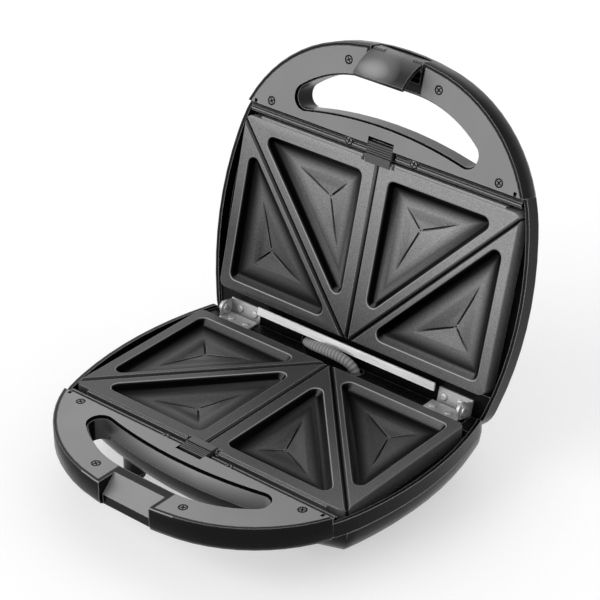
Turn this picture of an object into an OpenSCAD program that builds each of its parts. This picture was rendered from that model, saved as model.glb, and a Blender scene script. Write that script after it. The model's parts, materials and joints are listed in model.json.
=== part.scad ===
// Sandwich toaster with two pocketed cooking plates, standing open on its feet.
// Millimetres, +Z up. The table is z = 0, x = 0 is the plane of symmetry and
// the handles point to -Y. Every base piece is drawn in a base frame whose
// y = 0 is the hinge axis and whose z = 0 is the top of the handle panel. The
// lid pieces use the same shapes in a mirrored frame that turns on the hinge.

/* [Whole] */

// Width left between the plate and the widest place of the body on each side
side_margin = 12.4; // [11:0.1:20]

// Distance from the handle panel's rear edge to the front of the handle
handle_l = 62; // [55:0.1:80]

// Distance from the hinge axis back to the rear face
body_rear = 15; // [12:0.5:22]

// Angle between the lid and its closed position
open_angle = 104.64; // [60:0.01:110]

// Height of the feet below the base pan
foot_h = 4.2; // [3:0.1:10]

// Distance of the hinge axis behind the origin
hinge_y = 64.7; // [40:0.05:90]

// Gap between the two handle panels with the lid closed
panel_gap = 1.6; // [1:0.1:4]

// Depth of the hinge axis below the base handle panel
axis_drop = 0.85; // [0:0.05:3]

/* [Body outline] */

// Radius of the front edge seen from above
front_r = 190; // [150:1:260]

// Radius of the two front corners seen from above
corner_r = 100; // [70:1:130]

// Radius of the two sides seen from above
side_r = 240; // [180:1:400]

// Distance from the hinge axis forward to the widest place
side_y = 67.9; // [40:0.5:90]

// Radius of the two rear corners seen from above
rear_r = 20; // [12:0.5:30]

/* [Shells] */

// Wall thickness of the mouldings
wall = 2.4; // [1.8:0.1:4]

// Width of the raised rim round the handle panel
rim_w = 2.6; // [2:0.1:4]

// Height of the side rims below the handle panel
side_drop = 4; // [2:0.1:6]

// Depth of the seam between upper and lower shell
seam_d = 14.2; // [12:0.1:18]

// Thickness of the handle loop
handle_t = 17; // [15:0.1:24]

// Depth of the base pan bottom below the handle panel
base_depth = 40.4; // [36:0.1:50]

// Depth of the lid dome top behind the handle panel
lid_depth = 38.6; // [34:0.1:50]

// Sideways reach of the rounding of the base pan
pan_reach = 30; // [16:0.5:36]

// Sideways reach of the rounding of the lid dome
dome_reach = 20; // [14:0.5:30]

// Extra inward lean of the lid dome's sides over their height
dome_lean = 18; // [10:0.5:22]

// Depth of the rear deck that carries the hinges
deck_d = 6.1; // [5:0.1:9]

/* [Handle] */

// Distance from the plate's front edge to the rear edge of the panel
rail_l = 9.5; // [8.5:0.1:14]

// Thickness of the handle panel
panel_t = 2; // [1.6:0.1:3]

// Distance from the widest place of the body in to the grip opening
grip_side = 49.2; // [44:0.1:65]

// Radius of the round ends of the grip opening
grip_nose = 8.5; // [5:0.5:10]

// Width of the handle loop in front of the grip opening
grip_band = 20; // [16:0.1:26]

// Radius of the curved edge between grip opening and body
grip_r = 295; // [200:1:500]

// Width of the panel behind the grip opening at the middle
grip_bar = 12.3; // [10:0.1:18]

// Width of the thin lip round the grip opening
lip_w = 1.2; // [0.8:0.1:2]

// Half width of the centre notch in the handle front
notch_w = 20.2; // [14:0.1:30]

// Half width of the shell land round the notch
notch_land = 23; // [16:0.1:34]

// Distance of the notch's rear edge from the handle front
notch_len = 15.1; // [10:0.1:20]

// Distance of the recessed front wall from the handle front
notch_step = 4.5; // [3:0.1:7]

// Depth of the ramp's lower edge
ramp_d = 10.4; // [6:0.1:12]

// Depth of the latch bay in the lid handle
bay_d = 11; // [8:0.1:14]

/* [Plates] */

// Width of a cooking plate
plate_w = 218.2; // [180:0.1:240]

// Depth of a cooking plate from front to rear
plate_l = 119.5; // [100:0.1:130]

// Distance from the hinge axis forward to the plate's rear edge
plate_back = 11.9; // [10:0.1:20]

// Depth of the plate face below the handle panel
face_d = 0.5; // [0.2:0.1:2]

// Height of the plate from its lower lip to its face
plate_h = 11.4; // [9:0.1:13]

// Corner radius of the plate
plate_r = 5; // [2:0.5:10]

// Depth of the four pockets at the foot of their walls
pocket_d = 5.4; // [4:0.1:7]

// Width of the sloped wall round a pocket
pocket_wall = 7.5; // [6:0.1:10]

// Extra depth at the point where the three pocket faces meet
pocket_dip = 2.3; // [1:0.1:4]

// Distance of the outer pockets from the plate's side and rear edges
pocket_edge = 6.7; // [5:0.1:12]

// Distance of the inner pockets from the plate's front edge
pocket_front = 8.1; // [5:0.1:12]

// Distance of the inner pockets from the middle groove
pocket_mid = 9.5; // [6:0.1:12]

// Distance of the inner pockets from the slanted grooves
inner_gap = 6.3; // [5:0.1:9]

// Distance of the outer pockets from the slanted grooves
outer_gap = 4.3; // [4:0.1:9]

// Corner radius of a pocket
pocket_r = 5.5; // [4:0.5:12]

// Distance behind the plate's rear edge where the slanted grooves meet
groove_meet = 2.6; // [0:0.1:5]

// Distance from the plate's front corners to the ends of the slanted grooves
groove_end = 3.5; // [0:0.1:6]

// Depth of the V grooves between the pockets
groove_d = 2.2; // [1:0.1:3]

// Half width of the V grooves
groove_w = 1.9; // [1:0.1:3]

/* [Rail and clips] */

// Depth of the rail between panel and plate
rail_d = 3.2; // [2:0.1:5]

// Radius of the two rounded beads along the rail
rail_bead = 0.9; // [0.5:0.1:1.2]

// Distance of the rail's ends inside the plate's sides
rail_end = 2.1; // [1:0.1:8]

// Gap between rail and plate
rail_gap = 1.6; // [1:0.1:3]

// Half width of a plate clip
clip_w = 9.7; // [7:0.1:14]

// Free travel of a plate clip
clip_travel = 2.7; // [2:0.1:4]

// How far the clip hook covers the plate edge
clip_hook = 2.1; // [1.5:0.1:3]

/* [Hinges] */

// Distance of the lid ears' outer faces inside the plate's sides
ear_end = 9.4; // [8:0.1:20]

// Thickness of the bracket sheet
sheet_t = 1.2; // [0.8:0.1:1.4]

// Radius of the hinge pin
pin_r = 2; // [1.5:0.1:3]

// Radial clearance of the hinge pin in the lid ear
pin_clearance = 0.05; // [0.02:0.01:0.1]

// Length of a hinge leaf along the deck
leaf_l = 25; // [18:0.5:34]

// Opening radius of the round base ear
ear_r = 5.4; // [4.5:0.1:6]

/* [Latch] */

// Length of the latch along the handle
latch_w = 38.6; // [26:0.1:39]

// Outer radius of the curved latch
latch_r = 29; // [24:0.5:36]

// Thickness of the latch
latch_t = 2.8; // [2:0.1:4]

// Distance of the latch pin behind the handle front
latch_y = 6.1; // [5:0.1:9]

// Depth of the latch pin below the lid panel
latch_z = 2.9; // [2:0.1:5]

// Radius of the latch pin
latch_pin_r = 1.2; // [1:0.1:2]

/* [Heating] */

// Radius of the tubular heating element
heater_r = 3.2; // [2.5:0.1:4]

// Distance of the heating loop inside the plate's sides
heater_side = 34.1; // [25:0.1:50]

// Distance of the heating loop inside the plate's front and rear edges
heater_end = 28.75; // [24:0.05:38]

// Depth of the heating element below the panel
heater_d = 19.6; // [18:0.1:24]

// Depth of the reflector floor
reflector_d = 26; // [24:0.1:30]

// Thickness of the reflector sheet
reflector_t = 0.8; // [0.5:0.1:1.2]

/* [Feet and lamps] */

// Radius of a foot
foot_r = 6.5; // [4:0.5:10]

// Radius of a signal lamp
lamp_r = 3.6; // [2:0.1:6]

// Half distance between the two signal lamps
lamp_x = 11; // [8:0.5:20]

/* [Lead] */

// Radius of the braided sleeve between base and lid
sleeve_r = 3.6; // [2:0.1:5]

// Sideways position of the sleeve's hole in the base
sleeve_base_x = 14; // [0:0.5:40]

// Sideways position of the sleeve's hole in the lid
sleeve_lid_x = -33; // [-60:0.5:0]

// Distance of that hole behind the hinge axis with the lid closed
sleeve_lid_y = 2.2; // [0:0.1:3]

/* [Show] */

// Node to draw

/* [Hidden] */

$fn = 48;

// Small distances used between pieces
seat = 0.1;
gap = 0.2;
bevel_angle = open_angle / 2;
base_axis = -axis_drop;
lid_axis = panel_gap + axis_drop;

// Places and widths that follow from the plate
plate_front = plate_back + plate_l;
plate_c = [0, -(plate_front + plate_back) / 2];
panel_back = plate_front + rail_l;
body_front = panel_back + handle_l;
grip_back = panel_back + grip_bar;
body_w = plate_w + 2 * side_margin;
half_w = body_w / 2;
split_z = base_depth + foot_h;
grip_w = half_w - grip_side;
rail_w = plate_w / 2 - rail_end;
ear_x = plate_w / 2 - ear_end;
heater_w = plate_w - 2 * heater_side;
heater_l = plate_l - 2 * heater_end;
plate_tab_x = plate_w / 2 - 42.9;
lamp_y = -plate_front + 19.4;

// Arc centres of the outline: front, front corner, side and rear corner
front_c = [0, front_r - body_front];
side_c = [half_w - side_r, -side_y];
corner_c = meet(front_c, front_r - corner_r, side_c, side_r - corner_r);

// Lower one of the two points at distance r from p and s from q
function meet(p, r, q, s) =
    let (d = norm(q - p), a = (r * r - s * s + d * d) / (2 * d), h = sqrt(r * r - a * a))
    let (m = p + (q - p) * a / d)
    m + [-(q[1] - p[1]), q[0] - p[0]] * h / d;

function arc(c, r, a, b, n) = [for (i = [0:n]) c + r * [cos(a + (b - a) * i / n), sin(a + (b - a) * i / n)]];
function angle_to(p, q) = atan2(q[1] - p[1], q[0] - p[0]);
function mirrored(p) = [for (i = [len(p) - 1:-1:0]) [-p[i][0], p[i][1]]];

// Right half of the body outline, moved inward by i
function half_outline(i) =
    let (q = max(rear_r - i, 6), qy = body_rear - i - q)
    let (qx = side_c[0] + sqrt(pow(side_r - i - q, 2) - pow(qy - side_c[1], 2)), qc = [qx, qy])
    let (a = angle_to(front_c, corner_c), b = angle_to(side_c, corner_c), c = angle_to(side_c, qc))
    concat(arc(front_c, front_r - i, -90 + 0.01, a, 3), arc(corner_c, corner_r - i, a + 2, b, 12),
        arc(side_c, side_r - i, b + 2, c - 1, 8), arc(qc, q, c, 90, 6));

function outline(i) = concat(half_outline(i), mirrored(half_outline(i)));

// Right half of the grip opening, made smaller by i
function half_grip(i) =
    let (r = corner_r - grip_band - i, e = grip_nose - i, ex = grip_w - grip_nose)
    let (e1 = [ex, corner_c[1] - sqrt(pow(r - e, 2) - pow(ex - corner_c[0], 2))])
    let (g = [0, grip_r - grip_back], e2 = [ex, g[1] - sqrt(pow(grip_r + grip_nose, 2) - ex * ex)])
    let (a = angle_to(corner_c, e1), b = angle_to(e2, g))
    concat([[0.01, corner_c[1] - r]], arc(corner_c, r, -90, a - 2, 10), arc(e1, e, a, 0, 10),
        arc(e2, e, 0, b, 14), arc(g, grip_r + i, b - 180 - 0.8, -90 + 0.01, 8));

function grip(i) = concat(half_grip(i), mirrored(half_grip(i)));

// Rectangle with round corners, centre c, size w by l, radius r
function round_rect(c, w, l, r) = concat(
    arc(c + [w / 2 - r, l / 2 - r], r, 0, 90, 6),
    arc(c + [r - w / 2, l / 2 - r], r, 90, 180, 6),
    arc(c + [r - w / 2, r - l / 2], r, 180, 270, 6),
    arc(c + [w / 2 - r, r - l / 2], r, 270, 360, 6));

function unit(v) = v / norm(v);

// Inner angle bisector point of corner b in triangle a b c, at distance r from both sides
function inner_corner(a, b, c, r) =
    let (u = unit(a - b), v = unit(c - b), w = unit(u + v), s = sqrt((1 - u * v) / 2))
    b + w * r / s;

// Triangle a b c (counterclockwise) with round corners, moved inward by i
function round_tri(a, b, c, i, r) =
    let (p = [inner_corner(c, a, b, i + r), inner_corner(a, b, c, i + r), inner_corner(b, c, a, i + r)])
    [for (k = [0:2]) let (u = p[k] - p[(k + 2) % 3], v = p[(k + 1) % 3] - p[k])
        let (s = atan2(u[1], u[0]) - 90, t = atan2(v[1], v[0]) - 90)
        let (e = t < s ? t + 360 : t)
        for (m = [0:5]) p[k] + r * [cos(s + (e - s) * m / 5), sin(s + (e - s) * m / 5)]];

// Places of the rail, the shelf and the grip's rear edge
rail_front = panel_back;
rail_rear = plate_front + 1.3 + rail_gap;
shelf_z = -(face_d + plate_h + seat);
grip_c = [0, grip_r - grip_back];

// Where the pieces are fixed
panel_screws = [[half_w - 31.5, -panel_back - 4.7], [notch_land + 12.2, -body_front + 14.7]];
rail_screw_x = 25.8;
rail_screw_y = -(rail_front + rail_rear) / 2;
foot_places = [[half_w - 67.5, -panel_back + 4.9], [half_w - 25.5, plate_c[1] + 16.65],
    [half_w - 51.5, -plate_back - 4.1]];
pan_screw_places = [[half_w - 33.5, -plate_front + 33.4], [half_w - 34.5, -plate_back - 12.1]];
tab_z = seam_d + 3;

module to_base() {
    translate([0, hinge_y, split_z])
        children();
}

module to_lid() {
    translate([0, hinge_y, split_z - axis_drop])
        rotate([-open_angle, 0, 0])
            translate([0, 0, lid_axis])
                mirror([0, 0, 1])
                    children();
}

module slab(points, low, high) {
    translate([0, 0, low])
        linear_extrude(high - low)
            polygon(points);
}

module box(x0, x1, y0, y1, z0, z1) {
    translate([x0, y0, z0])
        cube([x1 - x0, y1 - y0, z1 - z0]);
}

module both_sides() {
    for (s = [0, 1])
        mirror([s, 0, 0])
            children();
}

// Everything above the rear bevel, whose plane passes d below the hinge axis
module above_bevel(axis, d) {
    translate([0, 0, axis])
        rotate([-bevel_angle, 0, 0])
            translate([-200, -60, -d])
                cube([400, 200, 120]);
}

// Plan of the pan or dome at one height, for the rounded stacks
module pan_plan(i) {
    intersection() {
        polygon(outline(i));
        translate(grip_c)
            circle(r = grip_r + lip_w - i, $fn = 120);
    }
}

module pan_stack(depth, lean, reach, i) {
    hull()
        for (t = [0:15:90])
            translate([0, 0, -(seam_d + gap) - (depth - seam_d - gap - i) * sin(t)])
                linear_extrude(0.01)
                    pan_plan(i + lean * sin(t) + (reach - i) * (1 - cos(t)));
}

module pan_block(i, low, high) {
    intersection() {
        slab(outline(i), low, high);
        translate([grip_c[0], grip_c[1], low - 1])
            cylinder(r = grip_r + lip_w - i, h = high - low + 2, $fn = 240);
    }
}

// Loop-shaped front body with rounded lower edges
module handle_body() {
    intersection() {
        hull()
            for (p = [[0, 0.5], [0.5, 0], [handle_t - 4, 0], [handle_t - 1.2, 1.1], [handle_t, 3.2]])
                translate([0, 0, -p[0] - 0.01])
                    linear_extrude(0.01)
                        polygon(outline(p[1]));
        box(-body_w, body_w, -body_front - 5, -panel_back, -handle_t - 1, 1);
    }
}

module half_handle_bosses(r, low, high) {
    for (p = panel_screws)
        translate([p[0], p[1], low])
            cylinder(r = r, h = high - low, $fn = 32);
}

// Upper moulding: handle loop, side walls, rail, shelf and hinge deck
module upper_shell(axis, is_lid) {
    difference() {
        union() {
            difference() {
                handle_body();
                pan_block(-gap, -handle_t - 5, -seam_d);
                difference() {
                    slab(outline(rim_w), -seam_d + wall, 1);
                    box(-body_w, body_w, -panel_back - wall, body_rear + 5, -50, 5);
                    slab(grip(-1.6), -50, 5);
                    box(-notch_land - 1.6, notch_land + 1.6, -body_front - 5, -body_front + 32, -50, 5);
                }
                difference() {
                    slab(outline(rim_w), -handle_t + wall, -seam_d + wall + 0.1);
                    pan_block(-wall, -50, 5);
                    slab(grip(-1.6), -50, 5);
                    box(-notch_land - 1.6, notch_land + 1.6, -body_front - 5, -body_front + 32, -50, 5);
                    box(-body_w, body_w, -panel_back - wall, body_rear + 5, -50, 5);
                }
            }
            difference() {
                slab(outline(0), -seam_d, -side_drop);
                slab(outline(rim_w), shelf_z, 1);
                box(-body_w, body_w, -body_front - 5, -panel_back + 0.01, -50, 5);
                slab(round_rect(plate_c, plate_w - 7, plate_l - 7, plate_r), -50, 5);
            }
            box(-rail_w, rail_w, -rail_front, -rail_rear, -seam_d, -rail_d);
            for (s = [-1, 1], y = [-rail_front + 2, -rail_rear - 2])
                translate([s * (clip_w + 1.8 + (rail_w - clip_w - 1.8) / 2), y, -rail_d])
                    rotate([0, 90, 0])
                        cylinder(r = rail_bead, h = rail_w - clip_w - 1.8, center = true, $fn = 32);
            box(-plate_w / 2 + 3.1, plate_w / 2 - 3.1, -plate_back + 0.6, -plate_back + 2.4,
                -seam_d, -deck_d);
            intersection() {
                slab(outline(1), -seam_d, -deck_d);
                union() {
                    box(-half_w, half_w, -plate_back + 0.6, body_rear, -deck_d - 2, -deck_d);
                    difference() {
                        box(-half_w, half_w, -2, body_rear + 1, -seam_d, -deck_d);
                        below_bevel(axis, gap + wall);
                    }
                }
            }
            both_sides()
                half_handle_bosses(3.6, -handle_t + 1, -panel_t);
            both_sides()
                for (p = pan_screw_places)
                    box(p[0] - 4, half_w - 9.5, p[1] - 4, p[1] + 4, -tab_z, -seam_d + 0.15);
        }
        above_bevel(axis, gap);
        difference() {
            slab(outline(rim_w), -panel_t, 1);
            box(-body_w, body_w, -panel_back + 0.01, body_rear + 5, -50, 5);
            box(-notch_land, notch_land, -body_front - 5, -body_front + 21.5, -50, 5);
        }
        slab(grip(lip_w), -handle_t - 5, 5);
        both_sides() {
            half_handle_bosses(1.25, -12, 5);
            for (p = pan_screw_places)
                translate([p[0], p[1], -tab_z]) {
                    cylinder(r = 1.25, h = 9, $fn = 32, center = true);
                    translate([0, 0, 2.2])
                        cylinder(r = is_lid ? 3.1 : 1.25, h = 5, $fn = 32);
                }
        }
        for (s = [-1, 1])
            translate([s * rail_screw_x, rail_screw_y, 0]) {
                translate([0, 0, -11])
                    cylinder(r = 1.25, h = 20, $fn = 32);
                translate([0, 0, -rail_d + 0.05])
                    cylinder(r = 3.2, h = 5, $fn = 32);
            }
        box(-clip_w - 0.4, clip_w + 0.4, -panel_back - clip_travel - 2.3, -panel_back + 0.1, -rail_d, 5);
        box(-4.2, 4.2, -panel_back + 3.2 - clip_travel, -panel_back + 5, -seam_d - 5, 5);
        both_sides()
            box(plate_tab_x - 6.2, plate_tab_x + 6.2, -plate_back, -plate_back + 3, -11.6, -9.2);
        translate([is_lid ? sleeve_lid_x : sleeve_base_x, is_lid ? sleeve_lid_y : -1, -seam_d - 5])
            cylinder(r = sleeve_r + 1.4, h = 20, $fn = 32);
        both_sides()
            translate([ear_x - 3.4, 0, axis])
                rotate([0, 90, 0])
                    cylinder(r = is_lid ? 7.4 : 8.8, h = 5.4);
        if (is_lid)
            lid_notch();
        else
            base_notch();
    }
}

module below_bevel(axis, d) {
    translate([0, 0, axis])
        rotate([-bevel_angle, 0, 0])
            translate([-200, -60, -120 - d])
                cube([400, 200, 120]);
}

// Ramp and recessed front wall in the base handle
module base_notch() {
    y0 = -body_front + notch_step;
    y1 = -body_front + notch_len;
    translate([-notch_w, 0, 0])
        rotate([90, 0, 90])
            linear_extrude(2 * notch_w)
                polygon([[y0, -50], [y0, -ramp_d], [y1, 0], [y1, 5], [-body_front - 5, 5],
                    [-body_front - 5, -50]]);
}

// Bay in the lid handle in which the latch turns
module lid_notch() {
    box(-notch_w, notch_w, -body_front - 5, -body_front + notch_len, -bay_d, 5);
}

// Lower moulding: rounded pan or dome with bosses for its screws
module lower_shell(axis, depth, is_lid) {
    lean = is_lid ? dome_lean : 0;
    reach = is_lid ? dome_reach : pan_reach;
    difference() {
        union() {
            difference() {
                union() {
                    pan_stack(depth, lean, reach, 0);
                    if (!is_lid)
                        both_sides()
                            for (p = foot_places)
                                translate([p[0], p[1], -depth])
                                    cylinder(r = foot_r + 1, h = 15);
                }
                difference() {
                    pan_stack(depth, lean, reach, wall);
                    above_bevel(axis, gap + wall);
                }
                difference() {
                    pan_block(wall, -seam_d - gap - 1, 1);
                    above_bevel(axis, gap + wall);
                }
            }
            intersection() {
                pan_stack(depth, lean, reach, 0.4);
                both_sides()
                    for (p = pan_screw_places)
                        translate([p[0], p[1], -depth])
                            cylinder(r = 4, h = depth - tab_z - 0.1);
            }
        }
        above_bevel(axis, gap);
        both_sides()
            for (p = pan_screw_places)
                translate([p[0], p[1], is_lid ? -tab_z - 12 : -depth - 1]) {
                    cylinder(r = 1.25, h = 40, $fn = 32);
                    if (!is_lid)
                        cylinder(r = 3.1, h = 5, $fn = 32);
                }
        if (is_lid)
            for (s = [-1, 1])
                translate([s * lamp_x, lamp_y, -depth - 1])
                    cylinder(r = lamp_r + 0.1, h = 6, $fn = 32);
        else {
            translate([gland_c[0], 0, gland_c[1]])
                rotate([-90, 0, 0])
                    cylinder(r = 4.65, h = body_rear + 5, $fn = 32);
            for (x = [-30:10:30])
                translate([x, plate_c[1] - 3.35, -depth - 1])
                    slab(round_rect([0, 0], 3, 34, 1.4), 0, 5);
        }
    }
}

// Handle panel with grip opening, notch, clip window and corner notches
module panel(is_lid) {
    color([0.24, 0.24, 0.25])
        difference() {
            slab(outline(rim_w + 0.15), -panel_t + 0.05, 0);
            box(-body_w, body_w, -panel_back, body_rear + 5, -50, 5);
            slab(grip(-0.1), -50, 5);
            box(-notch_land - 0.15, notch_land + 0.15, -body_front - 5, -body_front + 21.6, -50, 5);
            box(-clip_w - 0.35, clip_w + 0.35, -panel_back - clip_travel - 2.1, -panel_back + 1, -50, 5);
            both_sides() {
                for (p = panel_screws)
                    translate([p[0], p[1], -5]) {
                        cylinder(r = 1.6, h = 10, $fn = 32);
                        translate([0, 0, 4])
                            cylinder(r = 3.2, h = 5, $fn = 32);
                    }
                box(rail_w - 5.6, rail_w - 3.2, -panel_back - 2.8, -panel_back + 1, -50, 5);
            }
        }
}

// Countersunk screw with a cross recess, head top at z = 0
module screw(head_r, shank_r, shank_l) {
    difference() {
        union() {
            translate([0, 0, -0.9])
                cylinder(r = head_r, h = 0.9, $fn = 32);
            translate([0, 0, -shank_l])
                cylinder(r = shank_r, h = shank_l - 0.5, $fn = 32);
        }
        for (a = [0, 90])
            rotate([0, 0, a])
                box(-head_r * 0.62, head_r * 0.62, -head_r * 0.15, head_r * 0.15, -0.6, 1);
    }
}

module panel_screw_set() {
    color([0.3, 0.3, 0.31])
        both_sides()
            for (p = panel_screws)
                translate([p[0], p[1], -0.05])
                    rotate([0, 0, 30])
                        screw(2.9, 1.2, 9);
}

module rail_screw_set() {
    color([0.5, 0.5, 0.51])
        for (s = [-1, 1])
            translate([s * rail_screw_x, rail_screw_y, -rail_d + 0.95])
                rotate([0, 0, 20])
                    screw(3, 1.2, 8);
}

// One groove of V section from a to b in the face
module groove(a, b, d, w) {
    translate([a[0], a[1], -face_d])
        rotate([0, 0, angle_to(a, b)])
            rotate([90, 0, 90])
                linear_extrude(norm(b - a))
                    polygon([[0, -d], [w, 0], [w, 1], [-w, 1], [-w, 0]]);
}

// Point at a given y or x on the line that runs beside the diagonal at distance s
diag_y = groove_meet - plate_back;
diag = [plate_w / 2, groove_end - plate_front - diag_y];
diag_n = [-diag[1], diag[0]] / norm(diag);
function diag_at_y(y, s) =
    [(y - diag_y - s * diag_n[1]) / diag[1] * diag[0] + s * diag_n[0], y];
function diag_at_x(x, s) =
    [x, (x - s * diag_n[0]) / diag[0] * diag[1] + diag_y + s * diag_n[1]];

// Corner points of the two pockets on the right half of a plate
pocket_x = plate_w / 2 - pocket_edge;
pocket_low = face_d + pocket_d + pocket_dip;
tri_outer = [[pocket_x, -plate_back - pocket_edge], diag_at_y(-plate_back - pocket_edge, outer_gap),
    diag_at_x(pocket_x, outer_gap)];
tri_inner = [diag_at_x(pocket_mid, -inner_gap), [pocket_mid, -plate_front + pocket_front],
    diag_at_y(-plate_front + pocket_front, -inner_gap)];

// Point at the same distance from all three sides of a triangle
function middle(a, b, c) =
    (a * norm(b - c) + b * norm(c - a) + c * norm(a - b)) / (norm(b - c) + norm(c - a) + norm(a - b));

// Space of one pocket: a wall that slopes in twice, then three faces down to one point
module pocket(t) {
    c = middle(t[0], t[1], t[2]);
    hull() {
        slab(round_tri(t[0], t[1], t[2], 0, pocket_r), -face_d, 5);
        slab(round_tri(t[0], t[1], t[2], 0.4 * pocket_wall, pocket_r - 1.5),
            -face_d - 0.62 * pocket_d, -face_d - 0.62 * pocket_d + 0.01);
        slab(round_tri(t[0], t[1], t[2], pocket_wall, 1.5), -face_d - pocket_d, -face_d - pocket_d + 0.01);
        translate([c[0], c[1], -pocket_low])
            cylinder(r = 0.3, h = 0.1, $fn = 8);
    }
}

module plate() {
    color([0.13, 0.13, 0.13])
        difference() {
            union() {
                slab(round_rect(plate_c, plate_w, plate_l, plate_r), -face_d - plate_h, -face_d);
                both_sides() {
                    slab(round_tri(tri_outer[0], tri_outer[1], tri_outer[2], -1.5, pocket_r),
                        -pocket_low - 1.8, -face_d - 1);
                    slab(round_tri(tri_inner[0], tri_inner[1], tri_inner[2], -1.5, pocket_r),
                        -pocket_low - 1.8, -face_d - 1);
                    box(plate_tab_x - 5.2, plate_tab_x + 5.2, -plate_back - 1, -plate_back + 2.2, -11.4, -9.4);
                }
                box(-plate_w / 2 + 12.1, plate_w / 2 - 12.1, -plate_front - 1.3, -plate_front + 1,
                    -face_d - 6, -face_d - 1.2);
            }
            difference() {
                slab(round_rect(plate_c, plate_w - 5, plate_l - 5, plate_r - 1), -30, -face_d - 2.8);
                both_sides() {
                    slab(round_tri(tri_outer[0], tri_outer[1], tri_outer[2], -1.5, pocket_r), -40, 5);
                    slab(round_tri(tri_inner[0], tri_inner[1], tri_inner[2], -1.5, pocket_r), -40, 5);
                }
            }
            both_sides() {
                pocket(tri_outer);
                pocket(tri_inner);
                groove(diag_at_y(-plate_back + 1, 0), diag_at_x(plate_w / 2 + 3, 0), groove_d, groove_w);
            }
            groove([0, -plate_front - 3], [0, -plate_back + 3], groove_d, groove_w);
            for (s = [-1, 1])
                box(s * 12 - 1, s * 12 + 1, -plate_front - 3, -plate_front + 2, -3, 5);
        }
}

// Quarter bend of a rod about the point c, from angle a
module bend(c, r, a, rod) {
    translate([c[0], c[1], 0])
        rotate([0, 0, a])
            rotate_extrude(angle = 90)
                translate([r, 0])
                    circle(r = rod, $fn = 32);
}

module rod_x(x0, x1, y, r) {
    translate([x0, y, 0])
        rotate([0, 90, 0])
            cylinder(r = r, h = x1 - x0, $fn = 32);
}

module rod_y(x, y0, y1, r) {
    translate([x, y0, 0])
        rotate([-90, 0, 0])
            cylinder(r = r, h = y1 - y0, $fn = 32);
}

// Tubular element bent to a loop, with two terminal pins at the rear
module heater() {
    w = heater_w / 2;
    y0 = plate_c[1] - heater_l / 2;
    y1 = plate_c[1] + heater_l / 2;
    b = 12;
    color([0.42, 0.41, 0.40])
        translate([0, 0, -heater_d]) {
            rod_x(-w + b, w - b, y0, heater_r);
            both_sides() {
                bend([w - b, y0 + b], b, -90, heater_r);
                rod_y(w, y0 + b, y1 - b, heater_r);
                bend([w - b, y1 - b], b, 0, heater_r);
                rod_x(34, w - b, y1, heater_r);
                bend([34, y1 + b], b, 180, heater_r);
                rod_y(22, y1 + b, y1 + b + 7, heater_r);
                rod_y(22, y1 + b + 7, y1 + b + 14, 1);
            }
        }
}

// Bright tray behind the element, hung from the shelf by its front and rear flanges
module reflector() {
    z1 = -seam_d - 0.15;
    w = heater_w + 14;
    l = plate_l - 30;
    color([0.75, 0.75, 0.76])
        difference() {
            union() {
                slab(round_rect(plate_c, w, plate_l - 2, 4), z1 - reflector_t, z1);
                slab(round_rect(plate_c, w, l, 4), -reflector_d, z1);
                reflector_posts();
            }
            difference() {
                slab(round_rect(plate_c, w - 2 * reflector_t, l - 2 * reflector_t, 4 - reflector_t),
                    -reflector_d + reflector_t, 5);
                reflector_posts();
            }
            for (s = [-1, 1])
                box(s * 22 - 5, s * 22 + 5, plate_c[1] + l / 2 - 3, plate_c[1] + l / 2 + 3,
                    -heater_d - 5, -heater_d + 5.5);
        }
}

module reflector_posts() {
    both_sides()
        for (y = [-14, 14])
            difference() {
                box(heater_w / 2 - 4.4, heater_w / 2 + 4.4, plate_c[1] + y - 2, plate_c[1] + y + 2,
                    -reflector_d, -heater_d);
                translate([heater_w / 2, plate_c[1] + y - 3, -heater_d])
                    rotate([-90, 0, 0])
                        cylinder(r = heater_r + 0.05, h = 6);
            }
}

// Sliding plate clip: ribbed thumb piece, hook over the plate edge and guide stem
module clip() {
    y0 = -panel_back - 1.6;
    y1 = -plate_front + clip_hook;
    color([0.16, 0.16, 0.17])
        difference() {
            union() {
                box(-clip_w, clip_w, y0, -plate_front - 1.7, -rail_d + seat, -0.3);
                box(-clip_w, clip_w, -rail_rear - 0.5, y1, -face_d + seat, 0.35);
                box(-4, 4, -panel_back + 3.4, -panel_back + 4.8, -seam_d - 1.5, -rail_d + 0.5);
                box(-7, 7, -panel_back + 3.4, -panel_back + 4.8, -seam_d - 2.2, -seam_d - 0.3);
            }
            for (i = [0:4])
                box(-clip_w - 1, clip_w + 1, y0 + 1.1 + i * 1.5, y0 + 1.7 + i * 1.5, -1.3, 1);
        }
}

// Leaf and upright ear of a hinge bracket on the right side
module half_bracket(axis, is_lid) {
    x1 = is_lid ? ear_x : ear_x - sheet_t - 0.1;
    z0 = -deck_d + 0.05;
    y0 = is_lid ? -5.6 : -8;
    y1 = is_lid ? 4.8 : 3;
    difference() {
        union() {
            box(x1 - leaf_l - 1, x1, y0, y1, z0, z0 + sheet_t);
            if (is_lid)
                box(x1 - sheet_t, x1, -4.6, 5.4, z0, axis + 3.2);
            else {
                box(x1 - sheet_t, x1, -ear_r, 3, z0, axis);
                translate([x1 - sheet_t, 0, axis])
                    rotate([0, 90, 0])
                        cylinder(r = ear_r, h = sheet_t);
            }
        }
        translate([x1 - 5, 0, axis])
            rotate([0, 90, 0])
                cylinder(r = is_lid ? pin_r + pin_clearance : pin_r + 0.01, h = 10);
        for (x = [7.5, 20])
            translate([x1 - sheet_t - x, is_lid ? 0 : -3.4, z0 - 1])
                cylinder(r = 1.5, h = 5, $fn = 32);
    }
}

module bracket_pair(axis, is_lid) {
    color([0.72, 0.72, 0.73])
        both_sides()
            half_bracket(axis, is_lid);
}

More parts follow.
